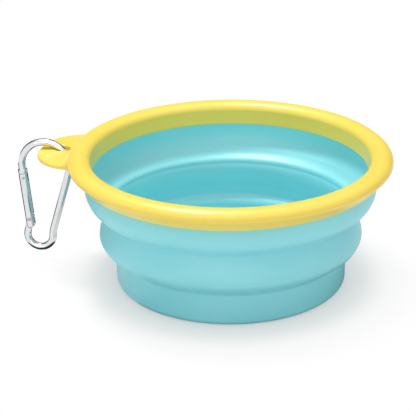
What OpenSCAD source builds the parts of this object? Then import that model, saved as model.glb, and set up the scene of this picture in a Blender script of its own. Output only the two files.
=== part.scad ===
// Collapsible silicone bowl with a stiff rim, a hang tab and a snap hook.
// The bowl stands on z = 0 with its axis on Z, and the tab points along -X.

/* [Rim] */
// Outer radius of the rim
rim_r = 65; // [55:0.5:80]
// Height of the rim ring
rim_h = 9.1; // [8.6:0.1:12]
// Width of the rim's section at its foot
rim_w = 9.5; // [9:0.1:11]
// Height of the rounded bead above its widest line
bead_h = 3.4; // [2.6:0.1:4]
// Distance of the crest in from the rim's outer edge
crest_in = 4.6; // [3.5:0.1:5.5]
// Distance of the flank's foot in from the rim's outer edge
flank_in = 4.7; // [3.5:0.1:5]
// Lean of the rim's inner face
face_lean = 0.5; // [0.2:0.1:1]
// Thickness of the skirt inside the silicone lip
skirt_t = 0.95; // [0.8:0.05:1.2]
// Chamfer along the rim's lower edges
rim_edge = 0.3; // [0.1:0.05:0.4]

/* [Hang tab] */
// Reach of the tab beyond the rim
tab_l = 15; // [14.5:0.1:17]
// Thickness of the tab
tab_t = 2.2; // [2:0.1:2.8]
// Height of the tab's underside above the rim's foot
tab_lift = 1.5; // [1.3:0.1:1.8]
// Radius of the tab's two corners
tab_corner_r = 15.8; // [14:0.1:16.5]
// Distance of each corner's centre from the tab's middle line
tab_corner_y = 2.6; // [1.5:0.1:4]
// Radius of the fillets where the tab meets the rim
tab_root_r = 8.9; // [6:0.1:10]
// Diameter of the eyelet
eyelet_d = 6.4; // [6.2:0.1:7]
// Distance of the eyelet's centre outside the rim
eyelet_out = 5.9; // [5.5:0.1:6.4]
// Rounding of the eyelet's mouths
eyelet_edge = 0.8; // [0.4:0.05:1]
// Rise of each face towards the eyelet
eyelet_rise = 0.1; // [0.05:0.05:0.2]

/* [Silicone body] */
// Wall thickness of the bands
wall = 1.8; // [1.4:0.1:2.2]
// Wall thickness at the fold lines
fold_t = 1.1; // [0.8:0.05:1.4]
// Thickness of the floor
floor_t = 2.5; // [2:0.1:3.5]
// Height of the base cup up to the lower crease
base_h = 13.7; // [12:0.1:18]
// Height of the middle band between the creases
waist_h = 17.8; // [16:0.1:22]
// Height of the upper wall between the upper crease and the rim
upper_h = 14.6; // [13:0.1:18]
// Height of the lower fold above its crease
lower_fold_h = 3.3; // [2.6:0.1:3.8]
// Height of the upper fold above its crease
upper_fold_h = 6.5; // [5:0.1:7.5]
// Swell of the upper wall's curve beyond its neck
belly_out = 2.1; // [1.5:0.05:3]
// Step in from the upper wall's neck to the middle band's bulge
band_step = 5.2; // [4.6:0.05:6]
// Depth of the upper crease behind the bulge
upper_crease_in = 3; // [2:0.1:3.2]
// Depth of the lower crease behind the bulge
lower_crease_in = 6.3; // [6:0.1:8]
// Draft of the base cup's side
base_draft = 0.2; // [0.1:0.05:0.6]
// Width of the base's rounded corner
corner_w = 2.8; // [2:0.1:6]
// Height of the base's rounded corner
corner_h = 2.4; // [2:0.1:5]
// Radius of the inner corner round the floor
floor_round = 3; // [2:0.1:4]
// Rounding of the creases along each side
crease_soft = 0.9; // [0.5:0.05:1.2]
// Height of the lip's neck inside the rim
lip_neck_h = 2.8; // [2.65:0.05:3]
// Height of the lip's locking bead
lip_bead_h = 1.9; // [1.5:0.1:2.2]
// Width of the lip's locking bead beyond its neck
lip_bead_out = 1.6; // [1:0.1:1.8]
// Clearance of the lip in the rim's channel
lip_fit = 0.1; // [0.05:0.01:0.15]

/* [Snap hook] */
// Diameter of the bent rod
rod_d = 3; // [2.8:0.05:3.1]
// Radius of the bow to the rod's middle
bow_r = 10.1; // [9.9:0.1:12]
// Gap between the bow and the top of the tab
bow_gap = 1.1; // [1.1:0.1:2]
// Distance of the rod inboard of the eyelet's middle
rod_inboard = 0.5; // [0.4:0.05:0.6]
// Length of the straight spine
spine_l = 26.3; // [22:0.1:32]
// Lean of the spine in degrees
spine_lean = 16.4; // [13:0.1:18]
// Radius of the slight reverse bend under the spine
jog_r = 12; // [8:0.5:16]
// Radius of the small end bend to the rod's middle
end_r = 5.45; // [5.2:0.05:6.2]
// Turn of the end bend past its outermost point, in degrees
end_turn = 11.6; // [8:0.1:14]
// Length of the rod's straight end, from the end bend to its shoulder
stub_l = 2.4; // [2:0.05:3]
// Length of the rod's nose past the bow, to the gate's gap
nose_l = 2.85; // [2.6:0.05:3.2]
// Length of the nose's collar
collar_l = 1.6; // [1.2:0.1:2]
// Gap between the nose and the gate
gate_gap = 0.3; // [0.25:0.05:0.4]
// Diameter of the gate and the collar
gate_d = 3.9; // [3.8:0.05:4.1]
// Length of the gate below its pivot
gate_tail = 3.7; // [3.5:0.05:3.9]
// Gap between the gate's tail and the rod's shoulder
tail_gap = 0.3; // [0.25:0.05:0.4]
// Turn of the hanging hook about the upright through the eyelet, in degrees
hook_turn = 5; // [0:0.5:8]
// Distance of the hook's plane from the eyelet's middle
hook_side = 0.8; // [0:0.05:0.9]

/* [Hook mechanism] */
// Thickness of the hinge tongue
tongue_t = 1.4; // [1.2:0.05:1.5]
// Radius of the hinge tongue round the rivet
tongue_r = 1.55; // [1.45:0.05:1.6]
// Rise of the cam on the hinge tongue
cam_rise = 0.6; // [0.4:0.05:0.7]
// Angle over which the cam rises, in degrees
cam_angle = 40; // [38:1:50]
// Diameter of the hinge rivet
rivet_d = 1.5; // [1.3:0.05:1.6]
// Length by which a pin stops short of the gate's sides
pin_recess = 0.1; // [0.05:0.01:0.15]
// Clearance of the pins in their holes
pin_fit = 0.05; // [0.03:0.01:0.06]
// Side clearance of each tongue in its slot
slot_fit = 0.15; // [0.1:0.01:0.2]
// Height of the hinge slot above the pivot
hinge_slot_h = 2.5; // [2.4:0.05:2.7]
// Thickness of the latch tongue
latch_t = 1.1; // [0.9:0.05:1.2]
// Half width of the latch tongue
latch_half_w = 1.35; // [1.2:0.05:1.45]
// Length of the latch tongue below the nose
latch_l = 3.35; // [3.2:0.05:3.5]
// Diameter of the latch pin
latch_pin_d = 1; // [0.8:0.05:1.05]
// Distance of the latch pin below the nose
latch_pin_drop = 1.95; // [1.9:0.05:2]
// Distance of the latch pin inboard of the gate's axis
latch_pin_in = 0.35; // [0.3:0.05:0.45]
// Diameter of the spring's bore in the gate
bore_d = 1.9; // [1.8:0.05:2]
// Height of the bore's end above the pivot
bore_top = 12; // [11:0.1:13.5]
// Wire diameter of the spring
wire_d = 0.3; // [0.25:0.01:0.32]
// Number of turns of the spring
turns = 7; // [5:1:8]
// Diameter of the plunger's tip
tip_d = 0.8; // [0.6:0.05:0.9]
// Gap between the plunger's tip and the cam
tip_gap = 0.08; // [0.06:0.01:0.1]
// Height of the plunger's head above the pivot
head_z = 3.1; // [2.9:0.05:3.3]
// Length of the plunger's head
head_l = 1.3; // [1:0.1:1.5]
// Running clearance of the plunger and the spring in the bore
bore_fit = 0.06; // [0.04:0.01:0.1]

/* [Hidden] */

// Smoothness of the large and the small round forms
fine = 160;
small = 48;
// Steps along each curve of a profile
curve_steps = 14;
corner_steps = 5;
// Overrun of the cuts
overrun = 0.4;

// Heights of the bowl's stations
crease_lo_z = base_h;
crease_up_z = base_h + waist_h;
rim_z = crease_up_z + upper_h;
bowl_h = rim_z + rim_h;
lower_split_z = crease_lo_z + lower_fold_h;
upper_split_z = crease_up_z + upper_fold_h;
// Share of the middle band's height at which it bulges most
bulge_share = 0.4;
bulge_z = crease_lo_z + waist_h * bulge_share;

// Radii of the rim's section
rim_in_r = rim_r - rim_w;
crest_r = rim_r - crest_in;
bead_z = bowl_h - bead_h;
flank_foot_r = rim_r - flank_in;
// Height of the corner between bead and flank below the widest line
flank_drop = 0.9;
// Step in of that corner from the widest line
flank_step = 0.35;

// Radii of the silicone body
neck_in_r = rim_in_r + skirt_t + lip_fit;
neck_r = neck_in_r + wall;
bulge_r = neck_r - band_step;
crease_up_r = bulge_r - upper_crease_in;
crease_lo_r = bulge_r - lower_crease_in;
base_r = crease_lo_r - base_draft;
// Shares of a curve's height at which its control point lies
belly_ctrl_share = 0.27;
waist_ctrl_share = 0.2;
under_ctrl_share = 0.5;

// Places of the tab and of the eyelet, measured outward from the bowl's axis
tab_z = rim_z + tab_lift;
tab_tip = rim_r + tab_l;
eyelet_u = rim_r + eyelet_out;
// Radius at which the tab's flat leaves the rim's flank
tab_seat_in = 3.4;
tab_seat_r = rim_r - tab_seat_in;
// Depth to which the tab's root enters the rim
tab_root_in = 1;
tab_round_steps = 6;

// Middle of the bow, the reverse bend and the end bend, outward and up
bow_drop = bow_r - rod_d / 2 - tab_t / 2 - bow_gap;
bow_c = [eyelet_u - rod_inboard + sqrt(pow(bow_r, 2) - pow(bow_drop, 2)), tab_z + tab_t / 2 - bow_drop];
spine_top = bow_c - bow_r * [cos(spine_lean), sin(spine_lean)];
spine_end = spine_top + spine_l * [sin(spine_lean), -cos(spine_lean)];
jog_c = spine_end - jog_r * [cos(spine_lean), sin(spine_lean)];
end_c = jog_c + [jog_r + end_r, 0];
// Pivot of the gate on the rod's straight end
tail_start = end_c + end_r * [cos(end_turn), sin(end_turn)];
tail_l = stub_l + tail_gap + gate_tail;
pivot = tail_start + tail_l * [-sin(end_turn), cos(end_turn)];
// Gate's axis: the tangent from the pivot to the bow's middle line
pivot_to_bow = bow_c - pivot;
gate_lean = asin(bow_r / norm(pivot_to_bow)) - atan2(pivot_to_bow[1], pivot_to_bow[0]) + 90;
gate_span = sqrt(pow(norm(pivot_to_bow), 2) - pow(bow_r, 2));
gate_dir = [sin(gate_lean), cos(gate_lean)];
nose_top = pivot + gate_span * gate_dir;

// Heights along the gate, measured from its pivot
nose_end_l = gate_span - nose_l;
gate_top_l = nose_end_l - gate_gap;
latch_end_l = nose_end_l - latch_l;
latch_pin_l = nose_end_l - latch_pin_drop;
latch_slot_l = latch_end_l - gate_gap;
pin_l = gate_d - 2 * pin_recess;
spring_d = bore_d - 2 * bore_fit;
spring_z = head_z + head_l;
wire_sides = 6;
wire_steps = 12;
rod_sides = 20;
bow_steps = 24;
jog_steps = 3;
end_steps = 20;

// Points of a quadratic curve from a to b with control point c
function curve(a, c, b, n, first) =
    [for (i = [first:n]) let (t = i / n) pow(1 - t, 2) * a + 2 * t * (1 - t) * c + t * t * b];

// Faces between rings of points, each ring joined to the next one by a number of rows.
// A ring is counter-clockwise as seen from the next one.
function row_faces(rows, count, total) = [for (k = [0:rows - 1]) for (i = [0:count - 1])
    let (a = k * count + i, b = k * count + (i + 1) % count, c = (a + count) % total, d = (b + count) % total)
    for (f = [[a, c, d], [a, d, b]]) f];

function all_points(rings) = [for (ring = rings) for (p = ring) p];

// Solid through a list of rings, closed at its two ends by fans from the points start and finish
module loft(rings, start, finish) {
    count = len(rings[0]);
    total = len(rings) * count;
    last = total - count;
    caps = [for (i = [0:count - 1]) let (j = (i + 1) % count)
        for (f = [[total, i, j], [total + 1, last + j, last + i]]) f];
    polyhedron(concat(all_points(rings), [start, finish]), concat(row_faces(len(rings) - 1, count, total), caps));
}

// Solid through a list of rings, the last one joined to the first
module loft_loop(rings) {
    count = len(rings[0]);
    polyhedron(all_points(rings), row_faces(len(rings), count, len(rings) * count));
}

// Point at a distance d from p towards q
function toward(p, q, d) = p + (q - p) * d / norm(q - p);

function smooth(t) = let (s = min(max(t, 0), 1)) s * s * (3 - 2 * s);

// Corners and control points of the silicone body's outer profile
neck = [neck_r, rim_z];
belly = [neck_r + belly_out, crease_up_z + upper_h * belly_ctrl_share];
crease_up = [crease_up_r, crease_up_z];
waist = [bulge_r, bulge_z + (crease_up_z - bulge_z) * waist_ctrl_share];
bulge = [bulge_r, bulge_z];
under = [bulge_r, crease_lo_z + (bulge_z - crease_lo_z) * under_ctrl_share];
crease_lo = [crease_lo_r, crease_lo_z];
base_side = [base_r, corner_h];

// Outer profile of the silicone body from the lip down to the base
outer_wall = concat(
    curve(neck, belly, toward(crease_up, belly, crease_soft), curve_steps, 0),
    curve(toward(crease_up, belly, crease_soft), crease_up, toward(crease_up, waist, crease_soft), corner_steps, 1),
    curve(toward(crease_up, waist, crease_soft), waist, bulge, curve_steps, 1),
    curve(bulge, under, toward(crease_lo, under, crease_soft), curve_steps, 1),
    curve(toward(crease_lo, under, crease_soft), crease_lo, toward(crease_lo, base_side, crease_soft),
          corner_steps, 1));

// Quarter of an ellipse that turns from a side down to the axis at height z, and on to the axis
function foot(r, w, h, z) = concat(
    [for (i = [0:curve_steps]) let (a = 90 * i / curve_steps) [r - w * (1 - cos(a)), z + h * (1 - sin(a))]],
    [[0, z]]);

outer_path = concat(outer_wall, foot(base_r, corner_w, corner_h, 0));

// Outward normal of a path at its point i
function normal_at(path, i) =
    let (d = path[min(i + 1, len(path) - 1)] - path[max(i - 1, 0)]) [-d[1], d[0]] / norm(d);

// Distance over which the wall thins towards a crease
thin_span = 3;
function crease_share(z) =
    min(smooth(abs(z - crease_up_z) / thin_span), smooth(abs(z - crease_lo_z) / thin_span));

// Wall thickness at height z: thin at the creases
function wall_at(z) = fold_t + (wall - fold_t) * crease_share(z);

inner_path = concat(
    [for (i = [0:len(outer_wall) - 1]) outer_wall[i] - wall_at(outer_wall[i][1]) * normal_at(outer_wall, i)],
    foot(base_r - wall, floor_round, floor_round, floor_t));

function reversed(path) = [for (i = [len(path) - 1:-1:0]) path[i]];

// Section of the channel in the rim that holds the lip
module channel_section() {
    width = wall + 2 * lip_fit;
    translate([neck_in_r - lip_fit, rim_z - overrun])
        square([width, lip_neck_h + lip_bead_h + lip_fit + overrun]);
    translate([neck_in_r - lip_fit, rim_z + lip_neck_h])
        square([width + lip_bead_out, lip_bead_h + lip_fit]);
}

// Section of the whole silicone moulding
module silicone_section() {
    lip_z = rim_z + lip_neck_h;
    lip_top = lip_z + lip_bead_h;
    lip_r = neck_r + lip_bead_out;
    polygon(concat(
        [[neck_in_r, lip_top], [lip_r, lip_top], [lip_r, lip_z], [neck_r, lip_z]],
        outer_path, reversed(inner_path)));
}

// Ring of the silicone moulding between two heights
module silicone_ring(z0, z1) {
    rotate_extrude($fn = fine)
        intersection() {
            silicone_section();
            translate([0, z0]) square([rim_r, z1 - z0]);
        }
}

rim_outline = concat(
    [[rim_in_r + rim_edge, rim_z], [flank_foot_r - rim_edge, rim_z], [flank_foot_r, rim_z + rim_edge]],
    [[rim_r - flank_step, bead_z - flank_drop]],
    [for (i = [0:curve_steps]) let (a = 90 * i / curve_steps)
        [crest_r + crest_in * cos(a), bead_z + bead_h * sin(a)]],
    [for (i = [1:curve_steps]) let (a = 90 * i / curve_steps)
        [crest_r - (crest_r - rim_in_r - face_lean) * sin(a), bead_z + bead_h * cos(a)]],
    [[rim_in_r, rim_z + rim_edge]]);

// Centre of the tab's upper corner and of the fillet beside it, seen from above
tab_corner = [tab_tip - tab_corner_r, tab_corner_y];
fillet_far = tab_seat_r + tab_root_r;
fillet_near = tab_corner_r + tab_root_r;
fillet_along = (pow(fillet_far, 2) - pow(fillet_near, 2) + pow(norm(tab_corner), 2)) / (2 * norm(tab_corner));
fillet_across = sqrt(pow(fillet_far, 2) - pow(fillet_along, 2));
fillet_c = (fillet_along * tab_corner + fillet_across * [-tab_corner[1], tab_corner[0]]) / norm(tab_corner);
corner_a = atan2(fillet_c[1] - tab_corner[1], fillet_c[0] - tab_corner[0]);
root_a = atan2(fillet_c[1], fillet_c[0]);

// Half of the tab's outline, from its tip round to its root, drawn in by e
function tab_half(e) = concat(
    [for (i = [0:curve_steps]) let (a = corner_a * i / curve_steps)
        tab_corner + (tab_corner_r - e) * [cos(a), sin(a)]],
    [for (i = [1:corner_steps]) let (a = 180 + corner_a - (corner_a - root_a) * i / corner_steps)
        fillet_c + (tab_root_r + e) * [cos(a), sin(a)]],
    [for (i = [0:corner_steps]) let (a = root_a * (1 - i / corner_steps))
        (tab_seat_r - tab_root_in) * [cos(a), sin(a)]]);

function mirrored(path) = [for (i = [len(path) - 2:-1:0]) [path[i][0], -path[i][1]]];

function tab_outline(e) = concat(tab_half(e), mirrored(tab_half(e)));

// Circle round the eyelet's middle with as many points as the outline, the middle one towards the bowl
function eyelet_ring(r, z) = let (n = len(tab_outline(0)))
    [for (i = [0:n - 1]) let (a = 360 * (i + 1) / n - 180 / n) [eyelet_u + r * cos(a), r * sin(a), z]];

// Plate of the tab with a full round along its edge, and its eyelet with rounded mouths
module tab_plate() {
    r = eyelet_d / 2;
    edge = [for (k = [0:tab_round_steps]) let (a = -90 + 180 * k / tab_round_steps)
        [for (p = tab_outline(tab_t / 2 * (1 - cos(a)))) [p[0], p[1], tab_z + tab_t / 2 * (1 + sin(a))]]];
    mouth = [for (i = [0:corner_steps]) let (a = 90 * i / corner_steps)
        [r + eyelet_edge * (1 - sin(a)), eyelet_edge * (1 - cos(a))]];
    loft_loop(concat(
        edge,
        [for (m = mouth) eyelet_ring(m[0], tab_z + tab_t + eyelet_rise - m[1])],
        [for (m = reversed(mouth)) eyelet_ring(m[0], tab_z - eyelet_rise + m[1])]));
}

// Turns a shape drawn with +X outward so that it points along -X
module outward() {
    rotate([0, 0, 180]) children();
}

module rim_ring() {
    color("khaki")
        difference() {
            union() {
                rotate_extrude($fn = fine) polygon(rim_outline);
                outward() tab_plate();
            }
            rotate_extrude($fn = fine) channel_section();
        }
}

module lip_band() {
    color("powderblue") silicone_ring(upper_split_z, bowl_h);
}

module upper_fold() {
    color("paleturquoise") silicone_ring(crease_up_z, upper_split_z);
}

module middle_band() {
    color("powderblue") silicone_ring(lower_split_z, crease_up_z);
}

module lower_fold() {
    color("paleturquoise") silicone_ring(crease_lo_z, lower_split_z);
}

module base_cup() {
    color("powderblue") silicone_ring(0, crease_lo_z);
}

// Stations along the bent rod: each is a point of its middle line and the angle of its outer side
rod_stations = concat(
    [[nose_top - (nose_l - collar_l / 2) * gate_dir, -gate_lean]],
    [for (i = [0:bow_steps]) let (a = -gate_lean + (180 + spine_lean + gate_lean) * i / bow_steps)
        [bow_c + bow_r * [cos(a), sin(a)], a]],
    [for (i = [0:jog_steps]) let (a = spine_lean * (1 - i / jog_steps))
        [jog_c + jog_r * [cos(a), sin(a)], 180 + a]],
    [for (i = [1:end_steps]) let (a = 180 + (180 + end_turn) * i / end_steps)
        [end_c + end_r * [cos(a), sin(a)], a]],
    [[tail_start + stub_l * [-sin(end_turn), cos(end_turn)], end_turn]]);

// Rod bent in the hook's plane through all its stations
module bent_rod() {
    rings = [for (s = rod_stations)
        [for (j = [0:rod_sides - 1]) let (b = 360 * j / rod_sides, out = rod_d / 2 * cos(b))
            [s[0][0] + out * cos(s[1]), rod_d / 2 * sin(b), s[0][1] + out * sin(s[1])]]];
    first = rod_stations[0][0];
    last = rod_stations[len(rod_stations) - 1][0];
    loft(rings, [first[0], 0, first[1]], [last[0], 0, last[1]]);
}

// Hook's place: its plane is turned about the upright through the eyelet and set to one side
module hook_place() {
    outward()
        translate([eyelet_u, hook_side, 0])
            rotate([0, 0, hook_turn])
                translate([-eyelet_u, 0, 0]) children();
}

// Frame of the gate: origin at its pivot, Z along its axis, X outward
module at_gate() {
    translate([pivot[0], 0, pivot[1]])
        rotate([0, gate_lean, 0]) children();
}

// Pin across the hook's plane, centred there
module cross_pin(d, l) {
    rotate([90, 0, 0]) cylinder(d = d, h = l, center = true, $fn = small);
}

// Radius of the cam on the hinge tongue at angle a from the gate's axis
function cam_r(a) = tongue_r + cam_rise * min(max(a / cam_angle, 0), 1);

// Tongue round the rivet, with the cam on its inboard side that drives the plunger
module hinge_tongue() {
    cam = [for (i = [0:curve_steps]) let (a = (cam_angle + cam_angle / 2) * i / curve_steps)
        cam_r(a) * [-sin(a), cos(a)]];
    rotate([90, 0, 0]) {
        linear_extrude(height = tongue_t, center = true) polygon(concat([[0, 0]], cam));
        cylinder(r = tongue_r, h = tongue_t, center = true, $fn = small);
    }
}

// Latch tongue under the nose, with the notch that takes the latch pin
module latch_tongue() {
    notch_r = latch_pin_d / 2 + slot_fit;
    difference() {
        translate([-latch_half_w, -latch_t / 2, latch_end_l])
            cube([2 * latch_half_w, latch_t, latch_l + collar_l / 2]);
        translate([-latch_pin_in, 0, latch_pin_l]) {
            cross_pin(2 * notch_r, gate_d);
            translate([-gate_d, -gate_d / 2, -notch_r]) cube([gate_d, gate_d, 2 * notch_r]);
        }
    }
}

module clip_frame() {
    color("silver") hook_place()
        difference() {
            union() {
                bent_rod();
                translate([tail_start[0], 0, tail_start[1]])
                    rotate([0, -end_turn, 0])
                        translate([-rod_d / 2, -tongue_t / 2, stub_l - collar_l / 2])
                            cube([rod_d, tongue_t, tail_l - stub_l + collar_l / 2]);
                at_gate() {
                    hinge_tongue();
                    latch_tongue();
                    translate([0, 0, nose_end_l]) cylinder(d = gate_d, h = collar_l, $fn = small);
                }
            }
            at_gate() cross_pin(rivet_d + 2 * pin_fit, gate_d);
        }
}

module clip_gate() {
    slot_w = tongue_t + 2 * slot_fit;
    latch_slot_w = latch_t + 2 * slot_fit;
    color("gainsboro") hook_place() at_gate()
        difference() {
            intersection() {
                translate([0, 0, -gate_tail])
                    cylinder(d = gate_d, h = gate_top_l + gate_tail, $fn = small);
                union() {
                    cross_pin(2 * gate_tail, gate_d + 2 * overrun);
                    translate([-gate_d, -gate_d, 0]) cube([2 * gate_d, 2 * gate_d, gate_span]);
                }
            }
            translate([-gate_d, -slot_w / 2, -gate_tail - overrun])
                cube([2 * gate_d, slot_w, gate_tail + overrun + hinge_slot_h]);
            translate([-gate_d, -latch_slot_w / 2, latch_slot_l])
                cube([2 * gate_d, latch_slot_w, gate_span]);
            cylinder(d = bore_d, h = bore_top, $fn = small);
            cross_pin(rivet_d + 2 * pin_fit, 2 * gate_d);
            translate([-latch_pin_in, 0, latch_pin_l]) cross_pin(latch_pin_d + 2 * pin_fit, 2 * gate_d);
        }
}

module hinge_rivet() {
    color("dimgray") hook_place() at_gate() cross_pin(rivet_d, pin_l);
}

module latch_pin() {
    color("dimgray") hook_place() at_gate()
        translate([-latch_pin_in, 0, latch_pin_l]) cross_pin(latch_pin_d, pin_l);
}

// Coil of round wire between two heights along the gate's axis
module coil(z0, z1) {
    r = (spring_d - wire_d) / 2;
    rows = turns * wire_steps;
    rise = z1 - z0 - wire_d;
    slope = atan(rise / (turns * 2 * PI * r));
    rings = [for (i = [0:rows]) let (a = 360 * i / wire_steps, mid = z0 + wire_d / 2 + rise * i / rows)
        [for (j = [0:wire_sides - 1])
            let (b = -360 * j / wire_sides, out = r + wire_d / 2 * cos(b), up = wire_d / 2 * sin(b))
            [out * cos(a) + up * sin(slope) * sin(a), out * sin(a) - up * sin(slope) * cos(a),
             mid + up * cos(slope)]]];
    loft(rings, [r, 0, z0 + wire_d / 2], (rings[rows][0] + rings[rows][wire_sides / 2]) / 2);
}

module gate_spring() {
    color("lightslategray") hook_place() at_gate() coil(spring_z, bore_top);
}

module spring_plunger() {
    tip_z = tongue_r + tip_gap;
    stem_d = spring_d - 3 * wire_d;
    color("goldenrod") hook_place() at_gate() {
        translate([0, 0, tip_z + tip_d / 2]) {
            sphere(d = tip_d, $fn = small);
            cylinder(d = tip_d, h = head_z - tip_z, $fn = small);
        }
        translate([0, 0, head_z]) cylinder(d = spring_d, h = head_l, $fn = small);
        translate([0, 0, head_z]) cylinder(d = stem_d, h = 2 * head_l, $fn = small);
    }
}

rim_ring();
lip_band();
upper_fold();
middle_band();
lower_fold();
base_cup();
clip_frame();
clip_gate();
hinge_rivet();
latch_pin();
gate_spring();
spring_plunger();
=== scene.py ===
"""Looks of the collapsible bowl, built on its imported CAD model.

Every size below is in millimetres, and build_mesh() turns millimetres into metres.
"""

from math import asin, atan2, cos, exp, log, pi, radians, sin, sqrt

import bmesh
import bpy
from mathutils import Matrix, Vector


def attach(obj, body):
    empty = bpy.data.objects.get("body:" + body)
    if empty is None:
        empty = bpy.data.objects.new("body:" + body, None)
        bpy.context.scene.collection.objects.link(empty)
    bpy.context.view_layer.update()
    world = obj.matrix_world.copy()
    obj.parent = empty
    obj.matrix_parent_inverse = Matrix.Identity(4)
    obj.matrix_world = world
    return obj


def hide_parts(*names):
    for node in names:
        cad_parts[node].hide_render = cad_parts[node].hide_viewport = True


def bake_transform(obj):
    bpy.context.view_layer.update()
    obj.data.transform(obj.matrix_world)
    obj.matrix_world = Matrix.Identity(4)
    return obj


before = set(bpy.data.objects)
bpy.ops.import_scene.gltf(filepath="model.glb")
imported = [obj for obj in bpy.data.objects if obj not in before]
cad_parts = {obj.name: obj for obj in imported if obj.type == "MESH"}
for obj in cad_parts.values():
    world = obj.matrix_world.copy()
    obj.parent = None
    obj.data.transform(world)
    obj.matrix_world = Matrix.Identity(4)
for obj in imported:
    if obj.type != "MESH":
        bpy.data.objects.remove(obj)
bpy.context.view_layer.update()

MM = 0.001

# Rim
RIM_R = 65
RIM_H = 9.1
RIM_W = 9.5
BEAD_H = 3.4
CREST_IN = 4.6
FLANK_IN = 4.7
FLANK_DROP = 0.9
FLANK_STEP = 0.35
FACE_LEAN = 0.5
SKIRT_T = 0.95
RIM_EDGE = 0.3
FLANK_SOFT = 1.0

# Hang tab
TAB_L = 15
TAB_T = 2.2
TAB_LIFT = 1.5
TAB_CORNER_R = 15.8
TAB_CORNER_Y = 2.6
TAB_ROOT_R = 8.9
TAB_SEAT_IN = 3.4
TAB_ROOT_IN = 1
EYELET_D = 6.4
EYELET_OUT = 5.9
EYELET_EDGE = 0.8
EYELET_RISE = 0.1
EYELET_CALM = 3
TAB_FILLET_R = 3.37
TAB_FILLET_FOOT = 68.2
TAB_FILLET_TOP = 64.92

# Silicone body
WALL = 1.8
FOLD_T = 1.1
FLOOR_T = 2.5
BASE_H = 13.7
WAIST_H = 17.8
UPPER_H = 14.6
BELLY_OUT = 2.1
BAND_STEP = 5.2
UPPER_CREASE_IN = 3
LOWER_CREASE_IN = 6.3
BASE_DRAFT = 0.2
CORNER_W = 2.8
CORNER_H = 2.4
FLOOR_ROUND = 3
CREASE_SOFT = 0.9
LIP_NECK_H = 2.8
LIP_BEAD_H = 1.9
LIP_BEAD_OUT = 1.6
LIP_FIT = 0.1
THIN_SPAN = 3
BULGE_SHARE = 0.4
BELLY_CTRL_SHARE = 0.27
WAIST_CTRL_SHARE = 0.2
UNDER_CTRL_SHARE = 0.5

# Round nose inside the middle band
NOSE_R = 48.2
NOSE_Z = 25
NOSE_TOP_Z = 31.4
NOSE_BEND_Z = 30.4
NOSE_DEPTH = 2
NOSE_RETREAT = 4
NOSE_FOOT_Z = 20.8
NOSE_SPREAD = 0.036
NOSE_MELT = 0.12
NOSE_RANGE_Z = (14.5, 33.5)

# Snap hook
ROD_D = 3
BOW_R = 10.1
BOW_GAP = 1.1
ROD_INBOARD = 0.5
SPINE_L = 26.3
SPINE_LEAN = radians(16.4)
JOG_R = 12
END_R = 5.45
END_TURN = radians(11.6)
STUB_L = 2.4
HOOK_TURN = radians(5)
HOOK_SIDE = 0.8
NOSE_L = 2.85
COLLAR_L = 1.6
GATE_GAP = 0.3
GATE_D = 3.9
GATE_TAIL = 3.7
TAIL_GAP = 0.3
TONGUE_T = 1.4
TONGUE_R = 1.55
CAM_RISE = 0.6
CAM_ANGLE = radians(40)
CAM_SPAN = 1.5 * CAM_ANGLE
RIVET_D = 1.5
PIN_FIT = 0.05
SLOT_FIT = 0.15
HINGE_SLOT_H = 2.5
LATCH_T = 1.1
LATCH_HALF_W = 1.35
LATCH_L = 3.35
LATCH_PIN_D = 1
LATCH_PIN_DROP = 1.95
LATCH_PIN_IN = 0.35
BORE_D = 1.9
BORE_TOP = 12
BORE_FIT = 0.06
WIRE_D = 0.3
TURNS = 7
HEAD_TOP_L = 4.4
METAL_EDGE = 0.25
FINE_EDGE = METAL_EDGE / 3

# Heights and radii that follow from these
CREASE_LO_Z = BASE_H
CREASE_UP_Z = BASE_H + WAIST_H
RIM_Z = CREASE_UP_Z + UPPER_H
BOWL_H = RIM_Z + RIM_H
BEAD_Z = BOWL_H - BEAD_H
RIM_IN_R = RIM_R - RIM_W
CREST_R = RIM_R - CREST_IN
FLANK_R = RIM_R - FLANK_IN
NECK_IN_R = RIM_IN_R + SKIRT_T + LIP_FIT
NECK_R = NECK_IN_R + WALL
BULGE_R = NECK_R - BAND_STEP
BULGE_Z = CREASE_LO_Z + WAIST_H * BULGE_SHARE
CREASE_UP_R = BULGE_R - UPPER_CREASE_IN
CREASE_LO_R = BULGE_R - LOWER_CREASE_IN
BASE_R = CREASE_LO_R - BASE_DRAFT
LIP_Z = RIM_Z + LIP_NECK_H
TAB_Z = RIM_Z + TAB_LIFT
EYELET_U = RIM_R + EYELET_OUT

# Smoothness of the round forms
ROUND = 320
CURVE = 40
SOFT = 10
ROD_ROUND = 48
WIRE_ROUND = 12
TURN_STEPS = 32
SHARP_ANGLE = radians(32)
BEVEL_ANGLE = radians(40)
TINY = 1e-6

# Camera, turned about the bowl's axis from the front towards +X
CAMERA_TURN = radians(15)
CAMERA_TILT = radians(22.8)
CAMERA_ROLL = radians(0.6)
CAMERA_SIDE = -9.1
CAMERA_BACK = 624.2
CAMERA_UP = 292.6
LENS = 144.8
SENSOR_W = 36

# Studio: light of the surroundings on the bowl, and where the lamps look
WORLD_LEVEL = 0.59
AIM_Z = 30
FLOOR_R = 1800
FLOOR_STEPS = 64
# Distance from the bowl's axis and share of white glow in the floor where it is seen: painted light that
# hides the floor's shadow away from the bowl's foot
FLOOR_PAINTED_GLOW_SHARE = ((40, 0.35), (54, 0.55), (64, 0.86), (80, 0.97), (700, 1))
# Dark cards that only gloss rays see, painting dark reflections, stand far off, or lie on the floor
# round the bowl's axis or the upright through the hook
HOOK_X = -82
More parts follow.
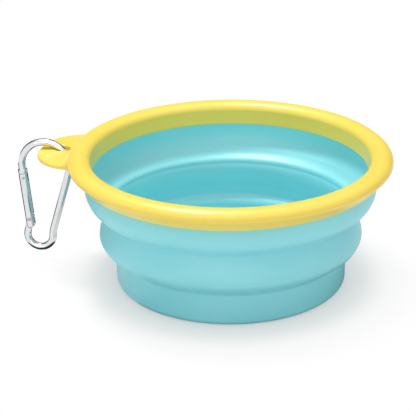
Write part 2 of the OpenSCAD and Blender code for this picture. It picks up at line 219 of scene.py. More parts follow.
# Name, x of the middle, near and far edge as radius and height, turns from the camera's side
DARK_REFLECTION_CARDS = (
    ("card_left", 0, (900, 5), (900, 900), radians(-100), radians(-162)),
    ("card_right", 0, (900, 5), (900, 900), radians(100), radians(162)),
    ("card_behind", 0, (900, 80), (900, 1500), radians(-162), radians(-198)),
    ("card_under", HOOK_X, (1, 1), (13, 1), radians(-180), radians(180)),
    ("card_floor_left", HOOK_X, (13, 1), (130, 1), radians(-97), radians(-172)),
    ("card_floor_right", HOOK_X, (13, 1), (130, 1), radians(120), radians(172)),
    ("card_table", 0, (150, 1), (1700, 1), radians(-35), radians(35)),
    ("card_line", HOOK_X, (20, 1), (120, 1), radians(24), radians(30)),
    ("card_foot", 0, (45, 0.6), (64, 0.6), radians(-55), radians(100)),
)
# Name, watts, width and height, turn from the camera's side, rise above the floor, distance
LAMPS = (
    ("key", 10.5, (220, 220), radians(-141), radians(74), 1300),
    ("top", 3.5, (1600, 1600), radians(0), radians(78), 1200),
    ("strip", 3, (1800, 120), radians(-8), radians(13), 1400),
)

# Two tones of each of the coloured materials
SILICONE_TONES = ((0.250, 0.705, 0.770), (0.270, 0.725, 0.785))
RIM_TONES = ((0.870, 0.660, 0.105), (0.890, 0.685, 0.118))
# Metals: two tones, roughness, size of the grain in millimetres and its stretch
METALS = {
    "polished_aluminium": ((0.74, 0.75, 0.76), (0.80, 0.80, 0.81), 0.07, 1.2, (1, 1, 0.3)),
    "pin_steel": ((0.42, 0.42, 0.43), (0.55, 0.55, 0.56), 0.4, 0.5, (1, 1, 1)),
    "spring_steel": ((0.5, 0.51, 0.53), (0.6, 0.61, 0.63), 0.4, 0.3, (1, 1, 1)),
    "plunger_brass": ((0.75, 0.55, 0.22), (0.82, 0.62, 0.28), 0.4, 0.4, (1, 1, 1)),
}
WEAR_DEPTH = 0.002


def place_camera():
    """Camera at the photograph's viewing angle, with no shift and no depth of field."""
    flat_right = Vector((cos(CAMERA_TURN), sin(CAMERA_TURN), 0))
    flat_ahead = Vector((-sin(CAMERA_TURN), cos(CAMERA_TURN), 0))
    ahead = flat_ahead * cos(CAMERA_TILT) - Vector((0, 0, sin(CAMERA_TILT)))
    above = flat_right.cross(ahead)
    right = flat_right * cos(CAMERA_ROLL) - above * sin(CAMERA_ROLL)
    above = right.cross(ahead)
    place = flat_right * CAMERA_SIDE - flat_ahead * CAMERA_BACK + Vector((0, 0, CAMERA_UP))
    data = bpy.data.cameras.new("camera")
    data.lens = LENS
    data.sensor_width = SENSOR_W
    data.clip_start = 0.01
    data.clip_end = 20
    camera = bpy.data.objects.new("camera", data)
    bpy.context.scene.collection.objects.link(camera)
    look = Matrix((right, above, -ahead)).transposed().to_4x4()
    camera.matrix_world = Matrix.Translation(place * MM) @ look
    bpy.context.scene.camera = camera


def curve(a, control, b, steps, first=0):
    """Points of a quadratic curve from a to b."""
    a, control, b = Vector(a), Vector(control), Vector(b)
    shares = [i / steps for i in range(first, steps + 1)]
    return [(1 - t) ** 2 * a + 2 * t * (1 - t) * control + t * t * b for t in shares]


def toward(p, q, distance):
    p, q = Vector(p), Vector(q)
    return p + (q - p).normalized() * distance


def smooth(t):
    t = min(max(t, 0), 1)
    return t * t * (3 - 2 * t)


def build_mesh(name, points, faces, place=Matrix.Identity(4)):
    """Object from points in millimetres, smooth apart from sharp edges, its faces turned outward."""
    mesh = bpy.data.meshes.new(name)
    mesh.from_pydata([place @ (Vector(p) * MM) for p in points], [], faces)
    work = bmesh.new()
    work.from_mesh(mesh)
    bmesh.ops.recalc_face_normals(work, faces=work.faces)
    work.to_mesh(mesh)
    work.free()
    mesh.shade_smooth()
    mesh.set_sharp_from_angle(angle=SHARP_ANGLE)
    made = bpy.data.objects.new(name, mesh)
    bpy.context.scene.collection.objects.link(made)
    return made


def revolve(name, profile, steps, closed=True, place=Matrix.Identity(4)):
    """Ring or solid turned from (radius, height) points. A point on the axis becomes one vertex."""
    points, rows = [], []
    for radius, height in profile:
        on_axis = radius < TINY
        rows.append([len(points) + i for i in range(1 if on_axis else steps)])
        points += [(radius * cos(2 * pi * i / steps), radius * sin(2 * pi * i / steps), height)
                   for i in range(1 if on_axis else steps)]
    faces = []
    pairs = list(zip(rows, rows[1:])) + ([(rows[-1], rows[0])] if closed else [])
    for low, high in pairs:
        for i in range(steps):
            j = i + 1
            quad = [low[i % len(low)], low[j % len(low)], high[j % len(high)], high[i % len(high)]]
            face = list(dict.fromkeys(quad))
            if len(face) > 2:
                faces.append(face)
    return build_mesh(name, points, faces, place)


def loft(name, rings, looped=False, place=Matrix.Identity(4)):
    """Surface through rings of points, with flat ends or its last ring joined to the first."""
    count = len(rings[0])
    points = [p for ring in rings for p in ring]
    total = len(points)
    faces = [[k * count + i, k * count + (i + 1) % count,
              ((k + 1) * count + (i + 1) % count) % total, ((k + 1) * count + i) % total]
             for k in range(len(rings) if looped else len(rings) - 1) for i in range(count)]
    if not looped:
        faces += [list(range(count)), list(range(total - count, total))]
    return build_mesh(name, points, faces, place)


def prism(name, outline, thickness, place=Matrix.Identity(4)):
    """Plate with an outline of (x, z) points, centred across y."""
    rings = [[(x, y, z) for x, z in outline] for y in (-thickness / 2, thickness / 2)]
    return loft(name, rings, place=place)


def apply_modifiers(piece):
    """Turns what the modifiers make into the piece's own mesh."""
    graph = bpy.context.evaluated_depsgraph_get()
    mesh = bpy.data.meshes.new_from_object(piece.evaluated_get(graph))
    piece.modifiers.clear()
    piece.data = mesh
    return piece


def cut(piece, cutters):
    """Takes the cutters out of the piece."""
    for cutter in cutters:
        step = piece.modifiers.new("cut", "BOOLEAN")
        step.operation = "DIFFERENCE"
        step.solver = "EXACT"
        step.object = cutter
    apply_modifiers(piece)
    for cutter in cutters:
        bpy.data.objects.remove(cutter)
    return piece


def soften(piece, width):
    """Rounds the piece's sharp edges."""
    step = piece.modifiers.new("edges", "BEVEL")
    step.width = width * MM
    step.segments = 2
    step.limit_method = "ANGLE"
    step.angle_limit = BEVEL_ANGLE
    apply_modifiers(piece)
    piece.data.shade_smooth()
    piece.data.set_sharp_from_angle(angle=SHARP_ANGLE)
    return piece


def join(name, parts):
    """One piece made of several overlapping meshes."""
    work = bmesh.new()
    for part in parts:
        work.from_mesh(part.data)
        bpy.data.objects.remove(part)
    mesh = bpy.data.meshes.new(name)
    work.to_mesh(mesh)
    work.free()
    made = bpy.data.objects.new(name, mesh)
    bpy.context.scene.collection.objects.link(made)
    return made


def wall_at(z):
    """Thickness of the silicone at a height: thin at the creases."""
    near_crease = min(abs(z - CREASE_UP_Z), abs(z - CREASE_LO_Z))
    return FOLD_T + (WALL - FOLD_T) * smooth(near_crease / THIN_SPAN)


def nose_at(z):
    """Radius of the thick round nose inside the middle band at a height."""
    if z > NOSE_TOP_Z:
        return NOSE_R + NOSE_DEPTH + NOSE_RETREAT * (z - NOSE_TOP_Z)
    if z < NOSE_Z:
        return NOSE_R + NOSE_SPREAD * (NOSE_Z - max(z, NOSE_FOOT_Z)) ** 2
    lean_in = NOSE_TOP_Z - NOSE_BEND_Z
    fall = NOSE_BEND_Z - NOSE_Z - lean_in
    t = (sqrt(lean_in ** 2 + fall * (NOSE_TOP_Z - z)) - lean_in) / fall
    return NOSE_R + NOSE_DEPTH * (1 - t) ** 2


def with_nose(point):
    """Point of the inner wall moved in to the nose, where the nose lies further in."""
    low, high = NOSE_RANGE_Z
    if point.y < low or point.y > high:
        return point
    reach = exp((point.x - nose_at(point.y)) / NOSE_MELT)
    return Vector((point.x - NOSE_MELT * log(1 + reach), point.y))


def normals_along(path):
    """Normals of a path that goes down and inward: they point away from the bowl's inside."""
    normals = []
    for i in range(len(path) - 1):
        along = path[i + 1] - path[max(i - 1, 0)]
        normals.append(Vector((-along.y, along.x)).normalized())
    return normals + [Vector((0, -1))]


def with_foot(wall, radius, width, height, z):
    """Path of a wall taken down to a rounded corner and on to the axis at height z."""
    turn = [pi / 2 * i / CURVE for i in range(CURVE + 1)]
    corner = [Vector((radius - width * (1 - cos(a)), z + height * (1 - sin(a)))) for a in turn]
    side = curve(wall[-1], (wall[-1] + corner[0]) / 2, corner[0], SOFT, 1)[:-1]
    return wall + side + corner + [Vector((0, z))]


def silicone_paths():
    """Outer and inner profile from the neck down to the axis, with as many points each."""
    neck = (NECK_R, RIM_Z)
    belly = (NECK_R + BELLY_OUT, CREASE_UP_Z + UPPER_H * BELLY_CTRL_SHARE)
    crease_up = (CREASE_UP_R, CREASE_UP_Z)
    waist = (BULGE_R, BULGE_Z + (CREASE_UP_Z - BULGE_Z) * WAIST_CTRL_SHARE)
    bulge = (BULGE_R, BULGE_Z)
    under = (BULGE_R, CREASE_LO_Z + (BULGE_Z - CREASE_LO_Z) * UNDER_CTRL_SHARE)
    crease_lo = (CREASE_LO_R, CREASE_LO_Z)
    up_above = toward(crease_up, belly, CREASE_SOFT)
    up_below = toward(crease_up, waist, CREASE_SOFT)
    lo_above = toward(crease_lo, under, CREASE_SOFT)
    lo_below = toward(crease_lo, (BASE_R, CORNER_H), CREASE_SOFT)
    wall = (
        curve(neck, belly, up_above, CURVE)
        + curve(up_above, crease_up, up_below, SOFT, 1)
        + curve(up_below, waist, bulge, CURVE, 1)
        + curve(bulge, under, lo_above, CURVE, 1)
        + curve(lo_above, crease_lo, lo_below, SOFT, 1)
    )
    normals = normals_along(wall + [Vector((BASE_R, CORNER_H))])
    offset = [p - wall_at(p.y) * n for p, n in zip(wall, normals)]
    outer = with_foot(wall, BASE_R, CORNER_W, CORNER_H, 0)
    inner = [with_nose(p) for p in offset]
    return outer, with_foot(inner, BASE_R - WALL, FLOOR_ROUND, FLOOR_ROUND, FLOOR_T)


def silicone_piece(name, profile, normals):
    """Turned piece of the moulding that keeps the profile's own normals, so its ends don't show."""
    made = revolve(name, profile, ROUND)
    shades = []
    for (radius, _), n in zip(profile, normals):
        for i in range(1 if radius < TINY else ROUND):
            a = 2 * pi * i / ROUND
            shades.append((n.x * cos(a), n.x * sin(a), n.y))
    made.data.normals_split_custom_set_from_vertices(shades)
    return made


def silicone_body():
    """The silicone moulding in two pieces, parted at the bulge where no fold bends them."""
    outer, inner = silicone_paths()
    parting = next(i for i, p in enumerate(outer) if p.y <= BULGE_Z + TINY)
    lip_top = LIP_Z + LIP_BEAD_H
    lip_r = NECK_R + LIP_BEAD_OUT
    lip = [(NECK_IN_R, lip_top), (lip_r, lip_top), (lip_r, LIP_Z), (NECK_R, LIP_Z)]
    lip_normals = [Vector(n).normalized() for n in ((-1, 1), (1, 1), (1, -1), (1, 0))]
    normals = normals_along(outer)
    inward = [-n for n in normals_along(inner)]
    upper = silicone_piece(
        "silicone_upper",
        lip + outer[:parting + 1] + inner[parting::-1],
        lip_normals + normals[:parting + 1] + inward[parting::-1],
    )
    lower = silicone_piece(
        "silicone_lower",
        outer[parting:] + inner[:parting - 1:-1],
        normals[parting:] + inward[:parting - 1:-1],
    )
    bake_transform(upper)
    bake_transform(lower)
    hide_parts("lip_band", "upper_fold", "middle_band")
    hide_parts("middle_band", "lower_fold", "base_cup")
    return [upper, lower]


def rim_section():
    """Section of the rim with the channel that holds the silicone's lip."""
    foot_z = RIM_Z + RIM_EDGE
    flank_h = BEAD_Z - FLANK_DROP - foot_z
    corner = (RIM_R, foot_z + (RIM_R - FLANK_R) * flank_h / (RIM_R - FLANK_STEP - FLANK_R))
    flank_top = toward(corner, (FLANK_R, foot_z), FLANK_SOFT)
    channel_in, channel_out = NECK_IN_R - LIP_FIT, NECK_R + LIP_FIT
    locked_r = channel_out + LIP_BEAD_OUT
    channel_top = LIP_Z + LIP_BEAD_H + LIP_FIT
    inner_w = CREST_R - RIM_IN_R - FACE_LEAN
    turn = [pi / 2 * i / CURVE for i in range(CURVE + 1)]
    return (
        [(channel_out, RIM_Z), (FLANK_R - RIM_EDGE, RIM_Z), (FLANK_R, foot_z)]
        + curve(flank_top, corner, (RIM_R, BEAD_Z), SOFT)[:-1]
        + [(CREST_R + CREST_IN * cos(a), BEAD_Z + BEAD_H * sin(a)) for a in turn]
        + [(CREST_R - inner_w * sin(a), BEAD_Z + BEAD_H * cos(a)) for a in turn[1:]]
        + [(RIM_IN_R, foot_z), (RIM_IN_R + RIM_EDGE, RIM_Z), (channel_in, RIM_Z)]
        + [(channel_in, channel_top), (locked_r, channel_top), (locked_r, LIP_Z), (channel_out, LIP_Z)]
    )


def outward(u, v, z=0.0):
    """Point at u outward along -X, v across and z up."""
    return (-u, -v, z)


def tab_outline(inset):
    """Outline of the tab from its tip round to its root and back, drawn in by inset."""
    corner = Vector((RIM_R + TAB_L - TAB_CORNER_R, TAB_CORNER_Y))
    seat_r = RIM_R - TAB_SEAT_IN
    far, near = seat_r + TAB_ROOT_R, TAB_CORNER_R + TAB_ROOT_R
    along = (far ** 2 - near ** 2 + corner.length_squared) / (2 * corner.length)
    across = sqrt(far ** 2 - along ** 2)
    fillet = (along * corner + across * Vector((-corner.y, corner.x))) / corner.length
    corner_a = atan2(fillet.y - corner.y, fillet.x - corner.x)
    root_a = atan2(fillet.y, fillet.x)

    def arc(centre, radius, start, end, first=0):
        angles = [start + (end - start) * i / CURVE for i in range(first, CURVE + 1)]
        return [centre + radius * Vector((cos(a), sin(a))) for a in angles]

    half = (
        arc(corner, TAB_CORNER_R - inset, 0, corner_a)
        + arc(fillet, TAB_ROOT_R + inset, pi + corner_a, pi + root_a, 1)
        + arc(Vector((0, 0)), seat_r - TAB_ROOT_IN, root_a, 0)
    )
    return half + [Vector((p.x, -p.y)) for p in reversed(half[:-1])]


def tab_point(point, share):
    """Point of the tab lifted, by a share of the lift, into the fillet from its top to the bead."""
    x, y, z = point
    near = min(max(TAB_FILLET_FOOT - sqrt(x * x + y * y), 0), TAB_FILLET_FOOT - TAB_FILLET_TOP)
    lift = TAB_FILLET_R - sqrt(TAB_FILLET_R ** 2 - near ** 2)
    return (x, y, z + lift * share * smooth((z - TAB_Z) / TAB_T))


def between(outer, inner):
    """Rings across the tab's upper side, from its edge to the eyelet's mouth."""
    rings = []
    for k in range(1, CURVE):
        t = k / CURVE
        ring = [tuple(a + (b - a) * t for a, b in zip(p, q)) for p, q in zip(outer, inner)]
        rings.append([tab_point(p, smooth(EYELET_CALM * (1 - t))) for p in ring])
    return rings


def rim_piece():
    """The rim ring and its hang tab with the eyelet."""
    ring = revolve("rim_bead", rim_section(), ROUND)
    half_t = TAB_T / 2
    turn = [pi * i / (2 * SOFT) - pi / 2 for i in range(2 * SOFT + 1)]
    edge = [
        [outward(p.x, p.y, TAB_Z + half_t * (1 + sin(a))) for p in tab_outline(half_t * (1 - cos(a)))]
        for a in turn
    ]
    count = len(edge[0])
    eyelet_r = EYELET_D / 2

    def eyelet_ring(radius, z):
        angles = [2 * pi * (i + 1) / count - pi / count for i in range(count)]
        return [outward(EYELET_U + radius * cos(a), radius * sin(a), z) for a in angles]

    mouth = [(eyelet_r + EYELET_EDGE * (1 - sin(a)), EYELET_EDGE * (1 - cos(a)))
             for a in (pi / 2 * i / SOFT for i in range(SOFT + 1))]
    top, bottom = TAB_Z + TAB_T + EYELET_RISE, TAB_Z - EYELET_RISE
    rings = [[tab_point(p, 1) for p in ring] for ring in edge]
    rings += between(edge[-1], eyelet_ring(mouth[0][0], top))
    rings += [eyelet_ring(r, top - d) for r, d in mouth]
    rings += [eyelet_ring(r, bottom + d) for r, d in mouth[::-1]]
    tab = loft("rim_tab", rings, looped=True)
    made = join("rim_with_tab", [ring, tab])
    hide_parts("rim_ring")
    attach(made, "rim")
    return made


# Middle line of the hook's rod, outward and up
bow_drop = BOW_R - ROD_D / 2 - TAB_T / 2 - BOW_GAP
bow_c = Vector((EYELET_U - ROD_INBOARD + sqrt(BOW_R ** 2 - bow_drop ** 2), TAB_Z + TAB_T / 2 - bow_drop))
lean = Vector((cos(SPINE_LEAN), sin(SPINE_LEAN)))
spine_end = bow_c - BOW_R * lean + SPINE_L * Vector((lean.y, -lean.x))
jog_c = spine_end - JOG_R * lean
end_c = jog_c + Vector((JOG_R + END_R, 0))
tail_dir = Vector((-sin(END_TURN), cos(END_TURN)))
tail_start = end_c + END_R * Vector((cos(END_TURN), sin(END_TURN)))
tail_l = STUB_L + TAIL_GAP + GATE_TAIL

# Gate's axis: the tangent from its pivot to the bow's middle line
pivot = tail_start + tail_l * tail_dir
to_bow = bow_c - pivot
GATE_LEAN = asin(BOW_R / to_bow.length) - atan2(to_bow.y, to_bow.x) + pi / 2
GATE_SPAN = sqrt(to_bow.length_squared - BOW_R ** 2)
gate_dir = Vector((sin(GATE_LEAN), cos(GATE_LEAN)))
nose_end_l = GATE_SPAN - NOSE_L
gate_top_l = nose_end_l - GATE_GAP
latch_pin_l = nose_end_l - LATCH_PIN_DROP
latch_end_l = nose_end_l - LATCH_L

# Hook's place: its plane is turned about the upright through the eyelet and set to one side
HOOK_PLACE = (
    Matrix.Rotation(pi, 4, "Z")
    @ Matrix.Translation(Vector((EYELET_U, HOOK_SIDE, 0)) * MM)
    @ Matrix.Rotation(HOOK_TURN, 4, "Z")
    @ Matrix.Translation(Vector((-EYELET_U, 0, 0)) * MM)
)
# Frame of the gate: origin at its pivot, Z along its axis and X outward
AT_GATE = (
    HOOK_PLACE
    @ Matrix.Translation(Vector((pivot.x, 0, pivot.y)) * MM)
    @ Matrix.Rotation(GATE_LEAN, 4, "Y")
)
# Frame of the rod's tail: origin where it leaves the end bend, Z along it
AT_TAIL = (
    HOOK_PLACE
    @ Matrix.Translation(Vector((tail_start.x, 0, tail_start.y)) * MM)
    @ Matrix.Rotation(-END_TURN, 4, "Y")
)


def rod_stations():
    """Points along the rod's middle line, each with the angle of the rod's outer side and its radius."""
    def arc(centre, radius, start, end, steps, flip=0, first=0):
        angles = [start + (end - start) * i / steps for i in range(first, steps + 1)]
        return [(centre + radius * Vector((cos(a), sin(a))), a + flip) for a in angles]

    nose = pivot + (GATE_SPAN - NOSE_L + COLLAR_L / 2) * gate_dir
    bow = arc(bow_c, BOW_R, -GATE_LEAN, pi + SPINE_LEAN, 3 * CURVE)
    jog = arc(jog_c, JOG_R, SPINE_LEAN, 0, SOFT, flip=pi)
    end = arc(end_c, END_R, pi, 2 * pi + END_TURN, 2 * CURVE, first=1)
    stations = [(nose, -GATE_LEAN, ROD_D / 2)] + [(p, a, ROD_D / 2) for p, a in bow + jog + end]
    rounding = [pi / 2 * i / SOFT for i in range(SOFT + 1)]
    for a in rounding:
        reach = STUB_L - METAL_EDGE * (1 - sin(a))
        stations.append((tail_start + reach * tail_dir, END_TURN, ROD_D / 2 - METAL_EDGE * (1 - cos(a))))
    return stations


def rounded_rod(radius, low, high, edge):
    """Half section of a round bar between two heights, with rounded rims."""
    turn = [pi / 2 * i / SOFT for i in range(SOFT + 1)]
    return (
        [(0, low)]
        + [(radius - edge * (1 - sin(a)), low + edge * (1 - cos(a))) for a in turn]
        + [(radius - edge * (1 - cos(a)), high - edge * (1 - sin(a))) for a in turn]
        + [(0, high)]
    )


def cross_pin(name, diameter, length, x=0.0, z=0.0):
    """Round bar across the gate's frame."""
    outline = [(x + diameter / 2 * cos(a), z + diameter / 2 * sin(a))
               for a in (2 * pi * i / ROD_ROUND for i in range(ROD_ROUND))]
    return prism(name, outline, length, AT_GATE)


def block(name, low, high):
    """Box between two corners in the gate's frame, used only as a cutter."""
    outline = [(low[0], low[2]), (high[0], low[2]), (high[0], high[2]), (low[0], high[2])]
    return prism(name, outline, high[1] - low[1], AT_GATE)


def hook_frame():
    """The bent rod with its collar, the latch tongue under it and the hinge tongue at its tail."""
    rings = []
    for centre, a, radius in rod_stations():
        ring = []
        for j in range(ROD_ROUND):
            b = 2 * pi * j / ROD_ROUND
            out = radius * cos(b)
            ring.append((centre.x + out * cos(a), radius * sin(b), centre.y + out * sin(a)))
        rings.append(ring)
    rod = loft("rod", rings, place=HOOK_PLACE)
    collar = revolve("collar", rounded_rod(GATE_D / 2, nose_end_l, nose_end_l + COLLAR_L, METAL_EDGE),
                     ROD_ROUND, closed=False, place=AT_GATE)
    cam_steps = [CAM_SPAN * i / CURVE for i in range(CURVE + 1)]
    cam = [(TONGUE_R + CAM_RISE * min(a / CAM_ANGLE, 1), a) for a in cam_steps]
    rest_span = 2 * pi - cam_steps[-1]
    rest = [(TONGUE_R, cam_steps[-1] + rest_span * i / CURVE) for i in range(1, CURVE)]
    tongue = [(-r * sin(a), r * cos(a)) for r, a in cam + rest]
    hinge = prism("hinge_tongue", tongue, TONGUE_T, AT_GATE)
    slab_low, half_rod = STUB_L - COLLAR_L / 2, ROD_D / 2
    flat = [(-half_rod, slab_low), (half_rod, slab_low), (half_rod, tail_l), (-half_rod, tail_l)]
    slab = prism("slab", flat, TONGUE_T, AT_TAIL)
    notch_r = LATCH_PIN_D / 2 + SLOT_FIT
    notch = [(-LATCH_PIN_IN + notch_r * cos(a), latch_pin_l + notch_r * sin(a))
             for a in (pi / 2 - pi * i / CURVE for i in range(CURVE + 1))]
    top = nose_end_l + COLLAR_L / 2
    outline = (
        [(-LATCH_HALF_W, top), (-LATCH_HALF_W, latch_pin_l + notch_r)]
        + notch
        + [(-LATCH_HALF_W, latch_pin_l - notch_r), (-LATCH_HALF_W, latch_end_l)]
        + [(LATCH_HALF_W, latch_end_l), (LATCH_HALF_W, top)]
    )
    latch = prism("latch_tongue", outline, LATCH_T, AT_GATE)
    parts = [rod, collar] + [soften(p, FINE_EDGE) for p in (hinge, slab, latch)]
    made = join("hook_frame", parts)
    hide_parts("clip_frame")
    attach(made, "hook")
    return made


def hook_gate():
    """The gate with its rounded tail, its two slots, the spring's bore and the pin holes."""
    made = revolve("hook_gate", rounded_rod(GATE_D / 2, -GATE_TAIL, gate_top_l, METAL_EDGE),
                   ROD_ROUND, closed=False)
    for v in made.data.vertices:
        if v.co.z < 0:
            v.co.z *= sqrt(1 - (v.co.x / MM / GATE_TAIL) ** 2)
    made.data.transform(AT_GATE)
    wide = 2 * GATE_D
    slot, latch_slot = TONGUE_T / 2 + SLOT_FIT, LATCH_T / 2 + SLOT_FIT
    cut(made, [
        block("hinge_slot", (-wide, -slot, -2 * GATE_TAIL), (wide, slot, HINGE_SLOT_H)),
        block("latch_slot", (-wide, -latch_slot, latch_end_l - GATE_GAP), (wide, latch_slot, GATE_SPAN)),
        revolve("bore", [(0, -1), (BORE_D / 2, -1), (BORE_D / 2, BORE_TOP), (0, BORE_TOP)], ROD_ROUND,
                closed=False, place=AT_GATE),
        cross_pin("rivet_hole", RIVET_D + 2 * PIN_FIT, wide),
        cross_pin("latch_pin_hole", LATCH_PIN_D + 2 * PIN_FIT, wide, -LATCH_PIN_IN, latch_pin_l),
    ])
    soften(made, FINE_EDGE)
    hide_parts("clip_gate")
    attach(made, "gate")
    return made


def return_spring():
    """The coil from the plunger's head to the bore's end, built at one length, though the real coil
    shortens as the plunger moves.
    """
    radius = BORE_D / 2 - BORE_FIT - WIRE_D / 2
    rows = TURNS * TURN_STEPS
    rise = BORE_TOP - HEAD_TOP_L - WIRE_D
    slope = atan2(rise, TURNS * 2 * pi * radius)
    rings = []
    for i in range(rows + 1):
        a = 2 * pi * i / TURN_STEPS
        middle = HEAD_TOP_L + WIRE_D / 2 + rise * i / rows
        ring = []
        for j in range(WIRE_ROUND):
            b = 2 * pi * j / WIRE_ROUND
            out, up = radius + WIRE_D / 2 * cos(b), WIRE_D / 2 * sin(b)
            ring.append((
                out * cos(a) + up * sin(slope) * sin(a),
                out * sin(a) - up * sin(slope) * cos(a),
                middle + up * cos(slope),
            ))
        rings.append(ring)
    made = loft("return_spring", rings, place=AT_GATE)
    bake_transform(made)
    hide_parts("gate_spring")
    return made


def new_material(name):
    """Material with a Principled shader, and its node tree."""
    made = bpy.data.materials.new(name)
    made.use_nodes = True
    return made, made.node_tree, made.node_tree.nodes["Principled BSDF"]


def noise(tree, size, detail=3.0, stretch=(1, 1, 1)):
    """Noise over the object's own place, with features of about that size in millimetres."""
    place = tree.nodes.new("ShaderNodeTexCoord")
    scale = tree.nodes.new("ShaderNodeMapping")
    scale.inputs["Scale"].default_value = [s / (size * MM) for s in stretch]
    grain = tree.nodes.new("ShaderNodeTexNoise")
    grain.inputs["Scale"].default_value = 1
    grain.inputs["Detail"].default_value = detail
    tree.links.new(place.outputs["Object"], scale.inputs["Vector"])
    tree.links.new(scale.outputs["Vector"], grain.inputs["Vector"])
    return grain.outputs["Fac"]


def ramp(tree, source, low, high):
    """Number between low and high that follows a source from 0.3 to 0.7."""
    spread = tree.nodes.new("ShaderNodeMapRange")
    spread.inputs["From Min"].default_value = 0.3
    spread.inputs["From Max"].default_value = 0.7
    spread.inputs["To Min"].default_value = low
    spread.inputs["To Max"].default_value = high
    tree.links.new(source, spread.inputs["Value"])
    return spread.outputs["Result"]


def tint(tree, source, one, other):
    """Colour between two others that follows a source from 0.3 to 0.7."""
    mix = tree.nodes.new("ShaderNodeMix")
    mix.data_type = "RGBA"
    mix.inputs["A"].default_value = (*one, 1)
    mix.inputs["B"].default_value = (*other, 1)
    tree.links.new(ramp(tree, source, 0, 1), mix.inputs["Factor"])
    return mix.outputs["Result"]


def bump(tree, source, depth, below=None):
    """Bump of a depth in millimetres over another bump."""
    made = tree.nodes.new("ShaderNodeBump")
    made.inputs["Distance"].default_value = depth * MM
    tree.links.new(source, made.inputs["Height"])
    if below is not None:
        tree.links.new(below, made.inputs["Normal"])
    return made.outputs["Normal"]


def silicone_material():
    """Satin food-grade silicone: soft sheen, faint clouding and a fine matt texture."""
    made, tree, shader = new_material("silicone")
    shader.inputs["Subsurface Weight"].default_value = 0.2
    shader.inputs["Subsurface Radius"].default_value = (0.4, 0.9, 1.0)
    shader.inputs["Subsurface Scale"].default_value = 1.5 * MM
    shader.inputs["Specular IOR Level"].default_value = 0.75
    tree.links.new(tint(tree, noise(tree, 25, 2), *SILICONE_TONES), shader.inputs["Base Color"])
    tree.links.new(ramp(tree, noise(tree, 6, 4), 0.38, 0.44), shader.inputs["Roughness"])
    relief = bump(tree, noise(tree, 1.6, 3, (0.04, 0.04, 1)), 0.008)
    relief = bump(tree, noise(tree, 12, 2), 0.02, relief)
    tree.links.new(relief, shader.inputs["Normal"])
    return made


def rim_material():
    """Moulded yellow plastic: semi-gloss with a very faint orange-peel surface."""
    made, tree, shader = new_material("rim_plastic")
    shader.inputs["Subsurface Weight"].default_value = 0.1
    shader.inputs["Subsurface Radius"].default_value = (1.0, 0.8, 0.2)
    shader.inputs["Subsurface Scale"].default_value = 1.0 * MM
    shader.inputs["Specular IOR Level"].default_value = 0.5
    tree.links.new(tint(tree, noise(tree, 30, 2), *RIM_TONES), shader.inputs["Base Color"])
    tree.links.new(ramp(tree, noise(tree, 8, 2), 0.285, 0.33), shader.inputs["Roughness"])
    relief = bump(tree, noise(tree, 28, 0.5), 0.02)
    tree.links.new(relief, shader.inputs["Normal"])
    return made


def metal_material(name):
    """Metal with fine wear: tone, roughness and relief vary along a stretched grain."""
    one, other, rough, grain, stretch = METALS[name]
    made, tree, shader = new_material(name)
    shader.inputs["Metallic"].default_value = 1
    wear = noise(tree, grain, 5, stretch)
    tree.links.new(tint(tree, wear, one, other), shader.inputs["Base Color"])
    tree.links.new(ramp(tree, wear, rough * 0.75, rough * 1.3), shader.inputs["Roughness"])
    tree.links.new(bump(tree, wear, WEAR_DEPTH), shader.inputs["Normal"])
    return made


def seen_direct(tree):
    """1 for rays from the camera, from gloss and through glass, and 0 for light that falls on things."""
    path = tree.nodes.new("ShaderNodeLightPath")
    total = path.outputs["Is Camera Ray"]
    for name in ("Is Glossy Ray", "Is Transmission Ray"):
        add = tree.nodes.new("ShaderNodeMath")
        add.operation = "ADD"
        add.use_clamp = True
        tree.links.new(total, add.inputs[0])
        tree.links.new(path.outputs[name], add.inputs[1])
        total = add.outputs[0]
    return total


def floor_material():
    """Pale floor that glows on to pure white, where it is seen, away from the bowl's foot: painted light
    that hides its shadow there.
    """
    made, tree, shader = new_material("floor")
    shader.inputs["Base Color"].default_value = (0.78, 0.78, 0.78, 1)
    shader.inputs["Roughness"].default_value = 0.85
    shader.inputs["Specular IOR Level"].default_value = 0.1
    place = tree.nodes.new("ShaderNodeTexCoord")
    length = tree.nodes.new("ShaderNodeVectorMath")
    length.operation = "LENGTH"
    share = tree.nodes.new("ShaderNodeMath")
    share.operation = "DIVIDE"
    share.inputs[1].default_value = FLOOR_PAINTED_GLOW_SHARE[-1][0] * MM
    rise = tree.nodes.new("ShaderNodeValToRGB")
    stops = rise.color_ramp.elements
    while len(stops) < len(FLOOR_PAINTED_GLOW_SHARE):
        stops.new(1)
    for stop, (radius, level) in zip(stops, FLOOR_PAINTED_GLOW_SHARE):
        stop.position = radius / FLOOR_PAINTED_GLOW_SHARE[-1][0]
        stop.color = (level, level, level, 1)
    part = tree.nodes.new("ShaderNodeMath")
    part.operation = "MULTIPLY"
    # White glow mixed in where the floor is seen, more of it further from the bowl's foot: painted light
    # over the floor's shadow
    white = tree.nodes.new("ShaderNodeEmission")
    mix = tree.nodes.new("ShaderNodeMixShader")
    tree.links.new(place.outputs["Object"], length.inputs[0])
    tree.links.new(length.outputs["Value"], share.inputs[0])
    tree.links.new(share.outputs[0], rise.inputs[0])
    tree.links.new(seen_direct(tree), part.inputs[0])
    tree.links.new(rise.outputs["Color"], part.inputs[1])
    tree.links.new(part.outputs[0], mix.inputs[0])
    tree.links.new(shader.outputs[0], mix.inputs[1])
    tree.links.new(white.outputs[0], mix.inputs[2])
    tree.links.new(mix.outputs[0], tree.nodes["Material Output"].inputs["Surface"])
    return made


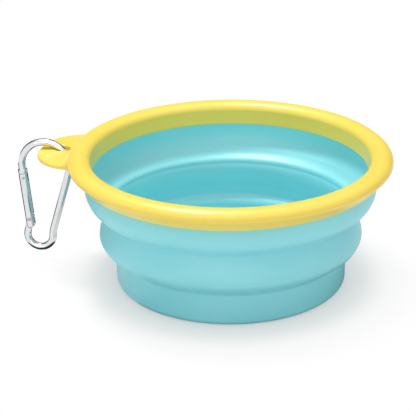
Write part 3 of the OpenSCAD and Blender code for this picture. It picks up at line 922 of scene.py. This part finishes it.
def reflection_card_material():
    """Black card that only gloss rays see: painted dark reflections, as dark lines in polished metal and
    darker sheen on the silicone.
    """
    made, _, shader = new_material("card")
    shader.inputs["Base Color"].default_value = (0.02, 0.02, 0.025, 1)
    shader.inputs["Roughness"].default_value = 0.9
    return made


def dress(piece, material):
    piece.data.materials.clear()
    piece.data.materials.append(material)


def from_camera(turn, radius, z, x=0):
    """Point at a turn about an upright at x from the camera's side, towards its right."""
    a = CAMERA_TURN + turn
    return (x + radius * sin(a), -radius * cos(a), z)


def studio():
    """Pale floor, white surroundings, a high key lamp, a wide top lamp, a low strip and dark cards."""
    turns = [2 * pi * i / FLOOR_STEPS for i in range(FLOOR_STEPS)]
    edge = [(FLOOR_R * cos(a), FLOOR_R * sin(a), 0) for a in turns]
    faces = [[0, i + 1, (i + 1) % FLOOR_STEPS + 1] for i in range(FLOOR_STEPS)]
    floor = build_mesh("floor", [(0, 0, 0)] + edge, faces)
    dress(floor, floor_material())

    dark = reflection_card_material()
    for name, x, near, far, start, end in DARK_REFLECTION_CARDS:
        turns = [start + (end - start) * i / SOFT for i in range(SOFT + 1)]
        points = [from_camera(turn, radius, z, x) for radius, z in (near, far) for turn in turns]
        card = build_mesh(name, points, [[i, i + 1, i + SOFT + 2, i + SOFT + 1] for i in range(SOFT)])
        dress(card, dark)
        # Only gloss rays see the card: a painted dark reflection that casts no shadow and shades nothing
        card.visible_camera = False
        card.visible_diffuse = False
        card.visible_shadow = False

    world = bpy.data.worlds.new("studio")
    bpy.context.scene.world = world
    world.use_nodes = True
    tree = world.node_tree
    tree.nodes.clear()
    soft = tree.nodes.new("ShaderNodeBackground")
    soft.inputs["Color"].default_value = (1, 1, 1, 1)
    soft.inputs["Strength"].default_value = WORLD_LEVEL
    white = tree.nodes.new("ShaderNodeBackground")
    white.inputs["Color"].default_value = (1, 1, 1, 1)
    white.inputs["Strength"].default_value = 1
    mix = tree.nodes.new("ShaderNodeMixShader")
    out = tree.nodes.new("ShaderNodeOutputWorld")
    tree.links.new(seen_direct(tree), mix.inputs[0])
    tree.links.new(soft.outputs[0], mix.inputs[1])
    tree.links.new(white.outputs[0], mix.inputs[2])
    tree.links.new(mix.outputs[0], out.inputs["Surface"])

    for name, power, size, turn, rise, far in LAMPS:
        lamp(name, power, size, from_camera(turn, far * cos(rise), far * sin(rise)))


def lamp(name, power, size, place):
    """Soft lamp of a width and a height that looks at the bowl."""
    data = bpy.data.lights.new(name, "AREA")
    data.shape = "RECTANGLE"
    data.energy = power
    data.size = size[0] * MM
    data.size_y = size[1] * MM
    made = bpy.data.objects.new(name, data)
    bpy.context.scene.collection.objects.link(made)
    spot = Vector(place) * MM
    made.location = spot
    made.rotation_mode = "QUATERNION"
    made.rotation_quaternion = (spot - Vector((0, 0, AIM_Z * MM))).to_track_quat("Z", "Y")


bpy.context.scene.view_settings.view_transform = "Standard"
place_camera()
studio()

silicone = silicone_material()
for piece in silicone_body():
    dress(piece, silicone)
dress(rim_piece(), rim_material())
polished = metal_material("polished_aluminium")
for piece in (hook_frame(), hook_gate()):
    dress(piece, polished)
steel = metal_material("pin_steel")
for name in ("hinge_rivet", "latch_pin"):
    dress(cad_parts[name], steel)
dress(return_spring(), metal_material("spring_steel"))
dress(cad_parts["spring_plunger"], metal_material("plunger_brass"))
